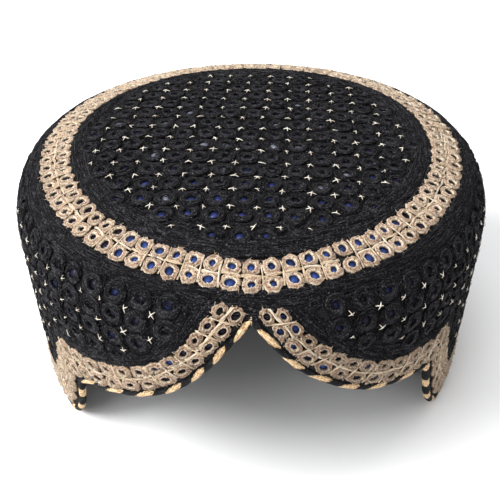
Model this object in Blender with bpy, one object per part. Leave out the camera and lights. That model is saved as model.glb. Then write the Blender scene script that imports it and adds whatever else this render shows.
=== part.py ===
"""Sindhi cap: domed round crown, upright wall cut to a cusped arch at the front,
straw-coloured cell bands round the crown and along the rim, and a corded edge.

Metres, +Z up. The cap stands on its rim at z = 0, its front faces -Y, and the
origin is on the floor in the middle of the cap's box.
"""

from math import cos, pi, radians, sin

import bmesh
import bpy
import numpy as np

# Driving sizes of the outer, embroidered surface
WALL_RADIUS = 0.0948
PLAN_LOBES = 3
PLAN_SWELL = 0.019
SHOULDER_HEIGHT = 0.0706
CROWN_HEIGHT = 0.0992
CROWN_DROP = 0.0070
CROWN_POWER = 3.7
RING_INNER_RADIUS = 0.0709
RING_OUTER_RADIUS = 0.0832

# The fuller front reaches further than the back, so the plan moves back by half of that
PLAN_SHIFT = 0.0012

# The shoulder is one cubic curve: how far its two handles reach towards each other
SHOULDER_CROWN_HANDLE = 0.60
SHOULDER_WALL_HANDLE = 0.55

# Cloth: the ground cloth lies under the stitching, and is this thick
STITCH_DEPTH = 0.0007
CLOTH_THICKNESS = 0.0024
CLEARANCE = 0.0003

# Raised cell bands: height of their peaks, and columns of two cells each. The
# columns of a foil widen from the cusp to the notch by this share of their mean.
BAND_PEAK = 0.0006
BAND_ROWS = 2
RING_COLUMNS = 78
FOIL_COLUMNS = 12
FOIL_WIDENING = 0.15
STEEP_COLUMNS = 4
FLOOR_COLUMNS = 52

# Corded edge: across, and how far its middle lies inside the outer surface
PIPING_WIDTH = 0.0030
PIPING_DEPTH = 0.0014
BAND_MARGIN = 0.0005

# Rim of the front arch. Turn from the front in degrees, then the height of the
# rim up the wall, on the cap's left as it is seen from the front and on its right.
# The foil ends at the notch, the steep side comes down to the foot.
FOIL_ROWS = (
    # turn, left, right
    (0.0, 0.0855, 0.0855),
    (4.0, 0.0776, 0.0770),
    (8.0, 0.0678, 0.0678),
    (12.0, 0.0596, 0.0616),
    (16.0, 0.0532, 0.0560),
    (20.0, 0.0488, 0.0514),
    (25.0, 0.0442, 0.0470),
    (30.0, 0.0409, 0.0440),
    (35.0, 0.0374, 0.0418),
    (40.0, 0.0342, 0.0392),
    (44.0, 0.0294, 0.0366),
)
STEEP_ROWS = (
    # turn, left, right
    (45.5, 0.0180, 0.0280),
    (47.5, 0.0095, 0.0175),
    (50.0, 0.0038, 0.0090),
    (53.0, 0.0000, 0.0030),
    (56.0, 0.0000, 0.0000),
)

# Upper line of the rim band, with the same columns. It starts under the shoulder's
# threads, rises to a point over the notch, and drops to the level stretch.
BAND_FOIL_ROWS = (
    # turn, left, right
    (6.5, 0.0925, 0.0905),
    (9.0, 0.0872, 0.0850),
    (12.0, 0.0800, 0.0795),
    (16.0, 0.0715, 0.0733),
    (20.0, 0.0658, 0.0678),
    (25.0, 0.0605, 0.0623),
    (30.0, 0.0570, 0.0586),
    (35.0, 0.0538, 0.0563),
    (40.0, 0.0512, 0.0544),
    (45.0, 0.0499, 0.0535),
    (51.0, 0.0480, 0.0545),
)
BAND_STEEP_ROWS = (
    # turn, left, right
    (51.0, 0.0480, 0.0545),
    (56.0, 0.0260, 0.0275),
)
BAND_FLOOR_TURN = 60.0
BAND_FLOOR_HEIGHT = 0.0155
BAND_START_TURN = 0.2

# Fineness of the solids
FOIL_STEPS = 18
FLOOR_STEPS = 50
CROWN_STEPS = 72
MERIDIAN_STEPS = 40
WALL_OUTER_STEPS = (3, 5)
WALL_INNER_STEPS = (2, 3)
SHOULDER_SHARE = 0.55
CROWN_OUTER_SHARES = (0.0, 0.3, 0.55, 0.74, 0.88, 1.0)
CROWN_INNER_SHARES = (0.0, 0.4, 0.75, 1.0)

# Colours of the cloths and threads
BLACK_CLOTH = (0.012, 0.012, 0.014)
STRAW_THREAD = (0.62, 0.46, 0.31)
CORD_MIX = (0.16, 0.11, 0.05)


def crown_height(radius):
    """Height of the crown: nearly flat in the middle, falling towards its edge."""
    return CROWN_HEIGHT - CROWN_DROP * (radius / RING_OUTER_RADIUS) ** CROWN_POWER


def cubic(start, first_handle, last_handle, end, steps):
    """Points along one cubic curve, after its start."""
    share = np.linspace(0.0, 1.0, steps + 1)[1:, None]
    rest = 1.0 - share
    return (rest ** 3 * start + 3 * rest ** 2 * share * first_handle
            + 3 * rest * share ** 2 * last_handle + share ** 3 * end)


def meridian():
    """Outer line of the cap from the floor up to the crown's middle.

    Returns radius, height and distance along the line, with its outward normal.
    """
    edge = np.array([RING_OUTER_RADIUS, crown_height(RING_OUTER_RADIUS)])
    wall_top = np.array([WALL_RADIUS, SHOULDER_HEIGHT])
    fall = -CROWN_POWER * CROWN_DROP / RING_OUTER_RADIUS
    slope = np.array([1.0, fall]) / np.hypot(1.0, fall)
    crown_handle = edge + slope * (WALL_RADIUS - RING_OUTER_RADIUS) * SHOULDER_CROWN_HANDLE
    rise = (edge[1] - SHOULDER_HEIGHT) * SHOULDER_WALL_HANDLE
    wall_handle = wall_top + np.array([0.0, rise])
    radius = np.linspace(0.0, RING_OUTER_RADIUS, MERIDIAN_STEPS)
    crown = np.stack([radius, crown_height(radius)], axis=1)
    shoulder = cubic(edge, crown_handle, wall_handle, wall_top, MERIDIAN_STEPS)
    wall = np.array([[WALL_RADIUS, SHOULDER_HEIGHT / 2], [WALL_RADIUS, 0.0]])
    line = np.concatenate([crown, shoulder, wall])[::-1]
    step = np.gradient(line, axis=0)
    step /= np.hypot(step[:, 0], step[:, 1])[:, None]
    normal = np.stack([step[:, 1], -step[:, 0]], axis=1)
    normal[-1] = (0.0, 1.0)
    length = np.hypot(*np.diff(line, axis=0).T)
    reach = np.concatenate([[0.0], np.cumsum(length)])
    return line, reach, normal


LINE, LINE_REACH, LINE_NORMAL = meridian()


def reach_at_radius(radius):
    """Distance up the outer line from the floor to a radius on the crown."""
    return float(np.interp(-radius, -LINE[:, 0], LINE_REACH))


def on_cap(turn, reach, lift):
    """Points of the cap's surface.

    turn is the angle from the front, reach the distance up the outer line from
    the floor, and lift the height above the outer surface, below it if negative.
    The plan is a circle that swells by a cosine of three times the turn.
    """
    radius = np.interp(reach, LINE_REACH, LINE[:, 0])
    height = np.interp(reach, LINE_REACH, LINE[:, 1])
    out = np.interp(reach, LINE_REACH, LINE_NORMAL[:, 0])
    up = np.interp(reach, LINE_REACH, LINE_NORMAL[:, 1])
    radius = (radius + lift * out) * (1.0 + PLAN_SWELL * np.cos(PLAN_LOBES * turn))
    across = radius * np.sin(turn)
    back = PLAN_SHIFT - radius * np.cos(turn)
    height = height + lift * up + np.zeros_like(turn)
    return np.stack([across, back, height], axis=-1)


def smooth(at, places, values):
    """Smooth curve through a table: each span is a cubic with the table's mean slopes."""
    slope = np.gradient(values, places)
    span = np.clip(np.searchsorted(places, at, side="right") - 1, 0, len(places) - 2)
    width = places[span + 1] - places[span]
    share = (at - places[span]) / width
    return ((1 + 2 * share) * (1 - share) ** 2 * values[span]
            + share * (1 - share) ** 2 * width * slope[span]
            + share ** 2 * (3 - 2 * share) * values[span + 1]
            + share ** 2 * (share - 1) * width * slope[span + 1])


def table(rows, column):
    """Turns in radians and one column of heights."""
    rows = np.array(rows)
    return np.radians(rows[:, 0]), rows[:, column]


def rim_half(column):
    """One half of the arch, from the cusp to the foot: turn and reach."""
    places, values = table(FOIL_ROWS, column)
    turn = np.linspace(0.0, places[-1], FOIL_STEPS)
    foil = np.stack([turn, smooth(turn, places, values)], axis=1)
    steep = np.stack(table(STEEP_ROWS, column), axis=1)
    return np.concatenate([foil, steep])


def rim_line():
    """The rim's edge once round, from the cusp by the right side, as turn and reach."""
    right = rim_half(2)
    left = rim_half(1) * (-1.0, 1.0) + (2 * pi, 0.0)
    turn = np.linspace(right[-1, 0], left[-1, 0], FLOOR_STEPS)[1:-1]
    floor = np.stack([turn, np.zeros_like(turn)], axis=1)
    return np.concatenate([right, floor, left[:0:-1]])


def mitre(line):
    """Direction into the cloth at each point of the closed rim, lengthened at corners.

    The rim is laid flat, with the distance round the wall and the distance up it.
    """
    flat = line * (WALL_RADIUS, 1.0)
    ahead = np.roll(flat, -1, axis=0) - flat
    ahead[-1, 0] += 2 * pi * WALL_RADIUS
    ahead /= np.hypot(ahead[:, 0], ahead[:, 1])[:, None]
    into = np.stack([-ahead[:, 1], ahead[:, 0]], axis=1)
    before = np.roll(into, 1, axis=0)
    joint = (into + before) / (1.0 + (into * before).sum(axis=1))[:, None]
    return joint / (WALL_RADIUS, 1.0)


def steps_along(line, count, widening=0.0):
    """The same line, as turn and reach, in count steps that widen evenly along it."""
    flat = line * (WALL_RADIUS, 1.0)
    length = np.concatenate([[0.0], np.cumsum(np.hypot(*np.diff(flat, axis=0).T))])
    share = np.linspace(0.0, 1.0, count + 1)
    at = length[-1] * share * (1.0 - widening + widening * share)
    return np.stack([np.interp(at, length, line[:, k]) for k in range(2)], axis=1)


def loft(name, sections, closed, colour, roughness):
    """A solid through sections, which are loops of points that run alike.

    Points that coincide are merged, and an open loft gets an end face at both ends.
    """
    count, size = sections.shape[:2]
    mesh = bpy.data.meshes.new(name)
    shape = bmesh.new()
    rows = [[shape.verts.new(point) for point in section] for section in sections]
    for index in range(count if closed else count - 1):
        near = rows[index]
        far = rows[(index + 1) % count]
        for k in range(size):
            shape.faces.new((near[k], near[(k + 1) % size], far[(k + 1) % size], far[k]))
    if not closed:
        shape.faces.new(rows[0][::-1])
        shape.faces.new(rows[-1])
    bmesh.ops.remove_doubles(shape, verts=shape.verts, dist=1e-6)
    bmesh.ops.triangulate(shape, faces=[face for face in shape.faces if len(face.verts) > 3])
    bmesh.ops.recalc_face_normals(shape, faces=shape.faces)
    shape.to_mesh(mesh)
    shape.free()
    mesh.shade_smooth()
    mesh.set_sharp_from_angle(angle=radians(40.0))
    mesh.materials.append(cloth_material(name, colour, roughness))
    body = bpy.data.objects.new(name, mesh)
    PARTS.objects.link(body)
    return body


def cloth_material(name, colour, roughness):
    """Plain finish of one piece."""
    material = bpy.data.materials.new(name + "_finish")
    material.use_nodes = True
    shader = material.node_tree.nodes["Principled BSDF"]
    shader.inputs["Base Color"].default_value = (*colour, 1.0)
    shader.inputs["Roughness"].default_value = roughness
    shader.inputs["Metallic"].default_value = 0.0
    return material


def skin_loop(turn, outer_reach, inner_reach):
    """Sections of ground cloth: up the outer skin, then back down the inner one."""
    outer = on_cap(turn[:, None], outer_reach, -STITCH_DEPTH)
    inner = on_cap(turn[:, None], inner_reach, -STITCH_DEPTH - CLOTH_THICKNESS)
    return np.concatenate([outer, inner[:, ::-1]], axis=1)


def crown_top():
    """Domed round top: the cloth from the crown's middle to just outside the ring."""
    turn = np.linspace(0.0, 2 * pi, CROWN_STEPS, endpoint=False)
    seam = reach_at_radius(RING_OUTER_RADIUS) - CLEARANCE
    centre = LINE_REACH[-1]
    outer = centre + (seam - centre) * np.array(CROWN_OUTER_SHARES)
    inner = centre + (seam - centre) * np.array(CROWN_INNER_SHARES)
    sections = skin_loop(turn, outer[::-1][None, :], inner[::-1][None, :])
    return loft("crown_top", sections, True, BLACK_CLOTH, 0.9)


def up_the_wall(foot, seam, steps):
    """Reaches from the cloth's edge to the shoulder and on to the seam, a row for each edge.

    The shoulder starts at its own height, or higher where the arch is cut into it.
    """
    shoulder = np.maximum(SHOULDER_HEIGHT, seam - SHOULDER_SHARE * (seam - foot))
    wall = foot + (shoulder - foot) * np.linspace(0.0, 1.0, steps[0] + 1)[:-1]
    rounding = shoulder + (seam - shoulder) * np.linspace(0.0, 1.0, steps[1] + 1)
    return np.concatenate([wall, rounding], axis=1)


def side_wall():
    """Shoulder and wall: the cloth from the crown's seam down to the corded edge."""
    rim = rim_line()
    edge = rim + mitre(rim) * (PIPING_WIDTH + CLEARANCE)
    turn = edge[:, 0]
    foot = edge[:, 1:2]
    seam = reach_at_radius(RING_OUTER_RADIUS) - 2 * CLEARANCE
    outer = up_the_wall(foot, seam, WALL_OUTER_STEPS)
    inner = up_the_wall(foot, seam, WALL_INNER_STEPS)
    return loft("side_wall", skin_loop(turn, outer, inner), True, BLACK_CLOTH, 0.9)


def cell_band(name, lower, upper, closed, base_steps):
    """Raised band of two rows of cells between a lower and an upper line.

    Both lines have two steps to a column, and each cell rises to a point. The
    underside follows the cloth in base_steps steps across.
    """
    across = np.linspace(0.0, 1.0, 2 * BAND_ROWS + 1)
    back_across = np.linspace(1.0, 0.0, base_steps + 1)
    width = (upper - lower)[:, None, :]
    lines = lower[:, None, :] + width * across[:, None]
    base = lower[:, None, :] + width * back_across[:, None]
    on_peak = (np.arange(len(lower)) % 2)[:, None] * (np.arange(len(across)) % 2)
    top = on_cap(lines[..., 0], lines[..., 1], on_peak * BAND_PEAK)
    bottom = on_cap(base[..., 0], base[..., 1], CLEARANCE - STITCH_DEPTH)
    sections = np.concatenate([top, bottom], axis=1)
    return loft(name, sections, closed, STRAW_THREAD, 0.8)


def crown_ring():
    """Ring of cells round the crown's edge."""
    half_column = pi / RING_COLUMNS
    turn = np.linspace(-half_column, 2 * pi - half_column, 2 * RING_COLUMNS, endpoint=False)
    outer = np.full_like(turn, reach_at_radius(RING_OUTER_RADIUS))
    inner = np.full_like(turn, reach_at_radius(RING_INNER_RADIUS))
    lower = np.stack([turn, outer], axis=1)
    upper = np.stack([turn, inner], axis=1)
    return cell_band("crown_ring", lower, upper, True, 1)


def columns_along(foil, steep):
    """One line of the band past the foil's columns and down the steep side's."""
    foil = steps_along(foil, 2 * FOIL_COLUMNS, FOIL_WIDENING)
    return np.concatenate([foil, steps_along(steep, 2 * STEEP_COLUMNS)[1:]])


def band_half(column):
    """Lower and upper line of one half of the band, from the cusp to the foot."""
    rim = rim_line()
    edge = rim + mitre(rim) * (PIPING_WIDTH + BAND_MARGIN)
    half = FOIL_STEPS + len(STEEP_ROWS)
    if column == 1:
        edge = np.concatenate([edge[:1], edge[:0:-1]]) * (-1.0, 1.0) + (2 * pi, 0.0)
        edge[0, 0] = 0.0
    start = radians(BAND_START_TURN)
    height = np.interp(start, edge[:half, 0], edge[:half, 1])
    foil = np.concatenate([[[start, height]], edge[1:FOIL_STEPS]])
    steep = edge[FOIL_STEPS - 1:half]
    places, values = table(BAND_FOIL_ROWS, column)
    turn = np.linspace(places[0], places[-1], 2 * FOIL_STEPS)
    foil_top = np.stack([turn, smooth(turn, places, values)], axis=1)
    steep_top = np.stack(table(BAND_STEEP_ROWS, column), axis=1)
    return columns_along(foil, steep), columns_along(foil_top, steep_top)


def rim_band():
    """Band of cells along the rim, from the cusp once round to the cusp again."""
    right_lower, right_upper = band_half(2)
    left_lower, left_upper = (line * (-1.0, 1.0) + (2 * pi, 0.0) for line in band_half(1))
    corner = radians(BAND_FLOOR_TURN)
    level = np.array([[corner, BAND_FLOOR_HEIGHT], [2 * pi - corner, BAND_FLOOR_HEIGHT]])
    floor_lower = np.stack([right_lower[-1], left_lower[-1]])
    floor_upper = np.concatenate([right_upper[-1:], level, left_upper[-1:]])
    steps = 2 * FLOOR_COLUMNS
    lower = np.concatenate([right_lower, steps_along(floor_lower, steps)[1:-1], left_lower[::-1]])
    upper = np.concatenate([right_upper, steps_along(floor_upper, steps)[1:-1], left_upper[::-1]])
    return cell_band("rim_band", lower, upper, False, 4)


def rim_piping():
    """Corded edge: an eight-sided cord along the rim, flat where it rests."""
    rim = rim_line()
    into = mitre(rim)
    half = PIPING_WIDTH / 2
    corner = [radians(22.5 + 45.0 * k) for k in range(8)]
    across = np.array([half - half * cos(angle) / cos(pi / 8) for angle in corner])
    lift = np.array([half * sin(angle) / cos(pi / 8) for angle in corner]) - PIPING_DEPTH
    lines = rim[:, None, :] + into[:, None, :] * across[:, None]
    sections = on_cap(lines[..., 0], lines[..., 1], lift[None, :])
    return loft("rim_piping", sections, True, CORD_MIX, 0.7)


for old in list(bpy.data.objects):
    bpy.data.objects.remove(old, do_unlink=True)
PARTS = bpy.data.collections.new("sindhi_cap")
bpy.context.scene.collection.children.link(PARTS)

crown_top()
side_wall()
crown_ring()
rim_band()
rim_piping()
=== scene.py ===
"""Looks of the sindhi cap: black thread rings round small mirrors on the crown and the
wall, cream crosses between them, couched black threads, straw-coloured mirror cells
round the crown and along the rim, and a plaited black and gold cord on its edge.

Turns are radians from the front. A reach is a distance up the cap's outer line from the
floor, and a lift is a height above that line. A flat place lies on the unrolled wall, as
distance round it and reach, or on the crown's plan, to the right and to the back.
"""

from math import cos, pi, radians, sin

import bpy
import numpy as np
from mathutils import Matrix, Vector


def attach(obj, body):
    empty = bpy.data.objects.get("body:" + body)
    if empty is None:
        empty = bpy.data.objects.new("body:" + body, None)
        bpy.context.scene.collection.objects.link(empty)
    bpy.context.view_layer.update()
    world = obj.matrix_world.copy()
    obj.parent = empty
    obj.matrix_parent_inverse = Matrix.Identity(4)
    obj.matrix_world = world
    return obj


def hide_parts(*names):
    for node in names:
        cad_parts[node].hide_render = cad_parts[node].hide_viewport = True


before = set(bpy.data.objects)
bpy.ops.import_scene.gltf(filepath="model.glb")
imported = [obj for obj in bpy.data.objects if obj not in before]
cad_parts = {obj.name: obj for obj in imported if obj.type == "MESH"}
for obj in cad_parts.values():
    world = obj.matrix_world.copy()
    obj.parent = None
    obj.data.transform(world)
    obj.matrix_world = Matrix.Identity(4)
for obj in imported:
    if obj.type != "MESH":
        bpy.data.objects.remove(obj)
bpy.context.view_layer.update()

MM = 0.001

# Outer, embroidered surface, as in the solids
WALL_RADIUS = 0.0948
PLAN_LOBES = 3
PLAN_SWELL = 0.019
PLAN_SHIFT = 0.0012
SHOULDER_HEIGHT = 0.0706
CROWN_HEIGHT = 0.0992
CROWN_DROP = 0.0070
CROWN_POWER = 3.7
RING_INNER_RADIUS = 0.0709
RING_OUTER_RADIUS = 0.0832
SHOULDER_CROWN_HANDLE = 0.60
SHOULDER_WALL_HANDLE = 0.55
MERIDIAN_STEPS = 40
WALL_ROUND = 2 * pi * WALL_RADIUS
FLAT = (WALL_RADIUS, 1.0)

# Cloth under the stitching, its lining, and the corded edge
STITCH_DEPTH = 0.0007
CLOTH_THICKNESS = 0.0024
LINING_THICKNESS = 0.0008
LINING_OVERLAP = 0.0001
LINING_PUFF = 0.016
LINING_PUFF_DEPTH = 0.0001
QUILT_PITCH = 0.0090
CROWN_CLOTH_GRID = (20, 181)
WALL_CLOTH_GRID = (15, 420)
CLEARANCE = 0.0003
PIPING_WIDTH = 0.0030
PIPING_DEPTH = 0.0014
CORD_STEPS = 900
CORD_SIDES = 14
PLY_SIZE = 0.92
PLY_SWELL = 0.12
PLY_POWER = 0.6
PLY_TWIST = 0.3

# Gold leaves of the corded edge, on the right and on the left: spacing at the cusp and at
# the notch, and the first leaf's place in leaves; then the bands down the steep sides
LEAF_SPACING_CUSP = (0.0120, 0.0103)
LEAF_SPACING_NOTCH = (0.0158, 0.0185)
FIRST_LEAF = (-0.05, 0.16)
BAND_SPACING = 0.0125
LEAF_UNIT = 0.02
LEAF_MIDDLE = 0.46
LEAF_SLANT = 12.0
BAND_MARGIN = 0.0005

# Columns of two mirror cells each
RING_COLUMNS = 78
RING_SAG = 0.0018
SAG_TURN = 1.0
SAG_SPREAD = 9.0
FOIL_COLUMNS = 12
FOIL_WIDENING = 0.15
FOIL_UPPER_WIDENING = 0.27
FOIL_SWING = 0.0012
STEEP_COLUMNS = 4
FLOOR_COLUMNS = 52

# Rim of the front arch: turn from the front in degrees, then the rim's height up the
# wall on the left and on the right, from the cusp to the notch and down to the foot
FOIL_ROWS = (
    (0.0, 0.0855, 0.0855),
    (4.0, 0.0776, 0.0770),
    (8.0, 0.0678, 0.0678),
    (12.0, 0.0596, 0.0616),
    (16.0, 0.0532, 0.0560),
    (20.0, 0.0488, 0.0514),
    (25.0, 0.0442, 0.0470),
    (30.0, 0.0409, 0.0440),
    (35.0, 0.0374, 0.0418),
    (40.0, 0.0342, 0.0392),
    (44.0, 0.0294, 0.0366),
)
STEEP_ROWS = (
    (45.5, 0.0180, 0.0280),
    (47.5, 0.0095, 0.0175),
    (50.0, 0.0038, 0.0090),
    (53.0, 0.0000, 0.0030),
    (56.0, 0.0000, 0.0000),
)

# Upper line of the cells along the rim, in the same columns
BAND_FOIL_ROWS = (
    (6.5, 0.0925, 0.0905),
    (9.0, 0.0872, 0.0850),
    (12.0, 0.0800, 0.0795),
    (16.0, 0.0715, 0.0733),
    (20.0, 0.0658, 0.0678),
    (25.0, 0.0605, 0.0623),
    (30.0, 0.0570, 0.0586),
    (35.0, 0.0538, 0.0563),
    (40.0, 0.0512, 0.0544),
    (45.0, 0.0499, 0.0535),
    (51.0, 0.0480, 0.0545),
)
BAND_STEEP_ROWS = (
    (51.0, 0.0480, 0.0545),
    (56.0, 0.0260, 0.0275),
)
BAND_FLOOR_TURN = 60.0
BAND_FLOOR_HEIGHT = 0.0155
BAND_START_TURN = 0.2
FOIL_STEPS = 18
FLOOR_STEPS = 50
UPPER_LINE_STEPS = 380

# Couched threads: how far apart they lie, how far each band goes past the cells or away
# from them, and how deep the shoulder's band dips behind the rim's cells at the cusp
SATIN_PITCH = 0.80 * MM
LOBE_SATIN_PITCH = 0.68 * MM
SATIN_OVERLAP = 0.8 * MM
CROWN_SATIN_RADIUS = 56.0 * MM
SHOULDER_SATIN_OVERLAP = 0.5 * MM
SHOULDER_SATIN_RISE = 6.3 * MM
SHOULDER_SATIN_DIP = 4.6 * MM
LOBE_SATIN_WIDTH = 6.4 * MM
LOBE_SATIN_TOP = 95.5 * MM
CROWN_SATIN_STEPS = 320
SHOULDER_SATIN_STEPS = 380

# Smooth wander of a couched thread, in pitches, over two lengths
SATIN_WANDER = ((0.9, 26.0 * MM), (0.35, 7.0 * MM))

# Turns in degrees over which the shoulder's band comes out of its dip beside the cusp
DIP_START = 9.0
DIP_SPAN = 9.0

# Where the couched bands sink: shares of the way across, and millimetres
CROWN_SATIN_LOW = ((0.40, 0.56), (0.0, 0.68))
SHOULDER_SATIN_LOW = ((0.12, 0.35), (0.45, 0.0))
LOBE_SATIN_LOW = ((0.50, 0.72), (0.0, 0.45))

# Counts of loose threads on the couched bands, and of fine hairs
CROWN_LOOSE = 260
SHOULDER_LOOSE = 300
LOBE_LOOSE = 420
CROWN_HAIRS = 700
WALL_HAIRS = 1200

# Rings and crosses of the crown, on a lattice that is turned a little
CROWN_PITCH = (0.00904, 0.00876)
CROWN_YAW = -4.05
CROWN_OFFSET = (0.00053, -0.0011)
CROWN_CROSSES = 14
CROWN_FRONT_STRETCH = 0.0013
CROWN_FRONT_ROW = -5.0
CROSS_FIELD_RADIUS = 0.0628
EYE_FIELD_RADIUS = 0.0642

# Rings and crosses of the wall: first column of crosses beside the cusp, columns all
# round, height of the topmost row, its sinking to the sides, and the rows below it
WALL_FIRST_TURN = 19.5
WALL_COLUMNS = 54
WALL_TOP_ROW = 0.0850
WALL_SINK = 0.0042
WALL_SINK_START = 15.0
WALL_SINK_SPAN = 45.0
WALL_ROW_DROPS = (0.0, 0.00775, 0.0159, 0.0242, 0.0325, 0.0408, 0.0491, 0.0574)
EYE_ABOVE_TOP_ROW = 0.0037
EYE_BELOW_LAST_ROW = 0.0041
RING_MARGIN = 0.0054
CROSS_MARGIN = 0.0064

# Sections of a ring and of a cell, from the outer edge to the hole: share of the way and
# height in millimetres
EYE_PROFILE = ((0.0, -0.35), (0.05, 0.15), (0.26, 0.40), (0.58, 0.50), (0.86, 0.54), (1.0, -0.3))
EYE_STEPS = 15
EYE_ARCS = 4
CELL_PROFILE = ((0.0, -0.5), (0.04, 0.34), (0.18, 0.74), (0.48, 0.55), (0.78, 0.98),
                (0.95, 0.78), (1.0, -0.3))
CELL_STEPS = 24
CELL_HALF = 3.1
CELL_FILL = 0.955
CELL_SQUARENESS = 2.9
CELL_ENDS = 5
MIRROR_THICKNESS = 0.3 * MM
MIRROR_SIDES = 12

# Painted reflections: colours that stand in for what the mirrors reflect
CROWN_BLUE = (0.028, 0.038, 0.140)
WALL_BLUE = (0.014, 0.021, 0.080)
CELL_BLUE = (0.028, 0.055, 0.205)
DARK_MIRROR = (0.009, 0.007, 0.016)
PALE_MIRROR = (0.13, 0.135, 0.17)

# Camera: the photo's viewing angle, for a frame of 500 by 500
FRAME_PIXELS = 500
FOCAL_PIXELS = 693.13
MIDDLE_PIXEL_X = 251.307
MIDDLE_PIXEL_Y = 241.938
CAMERA_ELEVATION = 37.758
CAMERA_ROLL = 0.4235
CAMERA_DISTANCE = 0.30673
LOOK_HEIGHT = 0.045
SENSOR_WIDTH = 36.0

# Lamps: place, width and watts. All face the middle of the cap.
LAMPS = {
    "key": ((-1.05, -0.25, 1.0), 0.8, 27.5),
    "front": ((-0.7, -0.85, 1.15), 0.8, 6.5),
    "top": ((-0.1, 0.2, 1.5), 1.0, 9.0),
}
LAMP_AIM = Vector((0.0, 0.0, 0.06))


# Flat lines and directions


def pairs(first, second):
    """Flat places or vectors from their two parts."""
    return np.stack(np.broadcast_arrays(first, second), axis=-1)


def unit(vectors):
    """Flat vectors, each divided by its length."""
    return vectors / (np.hypot(vectors[..., 0], vectors[..., 1])[..., None] + 1e-12)


def leftward(vectors):
    """Flat vectors turned a quarter round to the left."""
    return pairs(-vectors[..., 1], vectors[..., 0])


def direction(angle):
    """Flat vectors of length 1: cosine and sine of each angle."""
    return pairs(np.cos(angle), np.sin(angle))


def angles(count):
    """Angles at even steps once round."""
    return np.arange(count) * 2 * pi / count


def eased(share):
    """Share from 0 to 1, level at both ends: 3 times its square less 2 times its cube."""
    return share ** 2 * (3 - 2 * share)


def from_front(turn):
    """Turn in degrees, from -180 on the left to 180 on the right."""
    return np.degrees((turn + pi) % (2 * pi) - pi)


def travel(flat):
    """Distance along a flat line of points."""
    return np.concatenate([[0.0], np.cumsum(np.hypot(*np.diff(flat, axis=0).T))])


def at_distance(line, length, at):
    """Points of a line at some distances along it."""
    return pairs(*(np.interp(at, length, part) for part in line.T))


# The cap's surface


def crown_height(radius):
    """Height of the crown: nearly flat in the middle, falling with a power of the radius."""
    return CROWN_HEIGHT - CROWN_DROP * (radius / RING_OUTER_RADIUS) ** CROWN_POWER


def cubic(start, first_handle, last_handle, end, steps):
    """Points of one cubic Bezier curve, after its start."""
    share = np.linspace(0.0, 1.0, steps + 1)[1:, None]
    rest = 1.0 - share
    return (rest ** 3 * start + 3 * rest ** 2 * share * first_handle
            + 3 * rest * share ** 2 * last_handle + share ** 3 * end)


def meridian():
    """Outer line from the floor to the crown's middle: points, distance along it, normal.
    The shoulder is one curve from the crown's slope to the upright wall."""
    edge = np.array([RING_OUTER_RADIUS, crown_height(RING_OUTER_RADIUS)])
    wall_top = np.array([WALL_RADIUS, SHOULDER_HEIGHT])
    slope = unit(np.array([1.0, -CROWN_POWER * CROWN_DROP / RING_OUTER_RADIUS]))
    crown_handle = edge + slope * (WALL_RADIUS - RING_OUTER_RADIUS) * SHOULDER_CROWN_HANDLE
    wall_handle = wall_top + (0.0, (edge[1] - SHOULDER_HEIGHT) * SHOULDER_WALL_HANDLE)
    radius = np.linspace(0.0, RING_OUTER_RADIUS, MERIDIAN_STEPS)
    crown = pairs(radius, crown_height(radius))
    shoulder = cubic(edge, crown_handle, wall_handle, wall_top, MERIDIAN_STEPS)
    wall = [[WALL_RADIUS, SHOULDER_HEIGHT / 2], [WALL_RADIUS, 0.0]]
    line = np.concatenate([crown, shoulder, wall])[::-1]
    normal = -leftward(unit(np.gradient(line, axis=0)))
    normal[-1] = (0.0, 1.0)
    return line, travel(line), normal


LINE, LINE_REACH, LINE_NORMAL = meridian()


def reach_at_radius(radius):
    """Distance up the outer line from the floor to a radius on the crown."""
    return np.interp(-radius, -LINE[:, 0], LINE_REACH)


def swell(turn):
    """Share by which the plan is wider than a circle: a cosine of three times the turn."""
    return 1.0 + PLAN_SWELL * np.cos(PLAN_LOBES * turn)


def at_reach(parts, reach):
    """Both parts of the outer line, or of its normal, at a reach."""
    return [np.interp(reach, LINE_REACH, part) for part in parts.T]


def on_cap(turn, reach, lift):
    """Points at a turn from the front, a reach up the outer line and a lift above it."""
    radius, height = at_reach(LINE, reach)
    out, up = at_reach(LINE_NORMAL, reach)
    radius = (radius + lift * out) * swell(turn)
    height = height + lift * up + 0 * turn
    return np.stack([radius * np.sin(turn), PLAN_SHIFT - radius * np.cos(turn), height], axis=-1)


def on_wall(flat, lift):
    """Points of the unrolled wall: distance round it, reach, and lift."""
    return on_cap(flat[..., 0] / WALL_RADIUS, flat[..., 1], lift)


def on_crown(flat, lift):
    """Points of the crown from its plan: to the right, to the back, and lift."""
    turn = np.arctan2(flat[..., 0], -flat[..., 1])
    radius = np.hypot(flat[..., 0], flat[..., 1]) / swell(turn)
    return on_cap(turn, reach_at_radius(radius), lift)


def smooth(at, places, values):
    """Smooth curve through a table: each span is a cubic with the table's mean slopes."""
    slope = np.gradient(values, places)
    span = np.clip(np.searchsorted(places, at, side="right") - 1, 0, len(places) - 2)
    width = places[span + 1] - places[span]
    share = (at - places[span]) / width
    return ((1 - eased(share)) * values[span] + eased(share) * values[span + 1]
            + share * (1 - share) * width * ((1 - share) * slope[span] - share * slope[span + 1]))


def table(rows, column):
    """Turns in radians and one column of heights."""
    rows = np.array(rows)
    return np.radians(rows[:, 0]), rows[:, column]


def mirrored(line):
    """A line of turn and reach on the cap's other half."""
    return line * (-1.0, 1.0) + (2 * pi, 0.0)


def rim_half(column):
    """One half of the arch, from the cusp to the foot: turn and reach."""
    places, values = table(FOIL_ROWS, column)
    turn = np.linspace(0.0, places[-1], FOIL_STEPS)
    foil = pairs(turn, smooth(turn, places, values))
    return np.concatenate([foil, pairs(*table(STEEP_ROWS, column))])


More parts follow.
